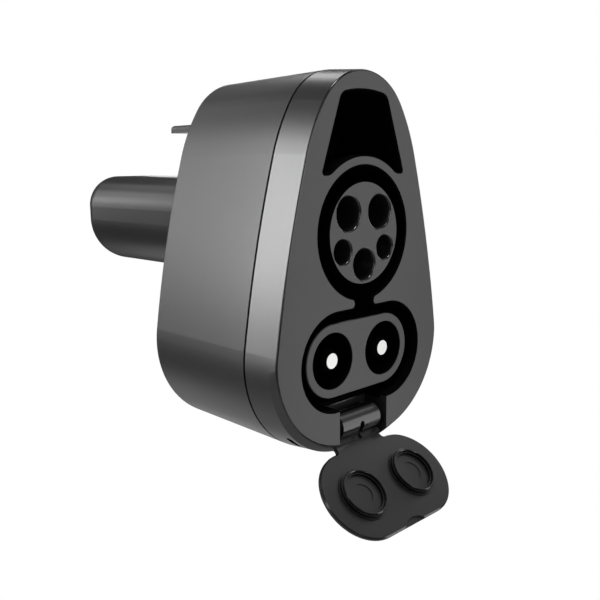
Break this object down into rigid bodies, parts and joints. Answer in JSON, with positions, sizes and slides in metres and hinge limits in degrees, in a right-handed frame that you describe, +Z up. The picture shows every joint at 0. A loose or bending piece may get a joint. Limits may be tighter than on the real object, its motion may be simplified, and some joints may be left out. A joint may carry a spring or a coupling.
{
  "type": "ev charging adapter",
  "caption": "Teardrop charging adapter: round multi-hole inlet and twin power pins with a hinged dust flap on the front, rounded plug on the back.",
  "frame": {"origin": "centre of the round inlet on the front face", "axes": "+X to the right seen from the front, +Y into the housing towards the plug, +Z up"},
  "size_m": [0.0846, 0.1732, 0.1509],
  "materials": {
    "housing_grey": "satin",
    "liner_black": "matte",
    "carrier_grey": "satin",
    "plug_grey": "satin",
    "flap_black": "satin",
    "silver_plate": "polished",
    "copper": "satin",
    "steel": "satin",
    "seal_rubber": "matte"
  },
  "bodies": {
    "housing": {"front_housing": "housing_grey", "rear_housing": "housing_grey", "housing_gasket": "seal_rubber", "housing_screws": "steel", "latch_pocket": "liner_black", "socket_liner": "liner_black", "inlet_carrier": "carrier_grey", "dc_block": "carrier_grey", "dc_pin_left": "silver_plate", "dc_pin_right": "silver_plate", "ground_pin": "silver_plate", "pilot_pin": "silver_plate", "proximity_pin": "silver_plate", "busbar_left": "copper", "busbar_right": "copper", "temperature_sensor_left": "liner_black", "temperature_sensor_right": "liner_black", "plug_body": "plug_grey", "plug_gasket": "seal_rubber", "plug_screws": "steel", "power_socket_left": "silver_plate", "power_socket_right": "silver_plate", "ground_socket": "silver_plate", "pilot_socket": "silver_plate", "proximity_socket": "silver_plate", "ground_conductor": "copper", "pilot_conductor": "copper", "proximity_conductor": "copper", "hinge_pin": "steel", "plunger_spring": "steel"},
    "flap": {"dust_flap": "flap_black"},
    "plunger": {"interlock_plunger": "plug_grey"}
  },
  "joints": [
    {"name": "flap_hinge", "type": "hinge", "parent": "housing", "child": "flap", "pos_m": [0, 0.0053, -0.0667], "axis": [1, 0, 0], "range_deg": [-130.6, 0]},
    {"name": "plunger_slide", "type": "slide", "parent": "housing", "child": "plunger", "axis": [0, 1, 0], "range_m": [-0.008, 0], "stiffness_N_per_m": 300, "springref_m": 0.001, "deforming": ["plunger_spring"]}
  ]
}
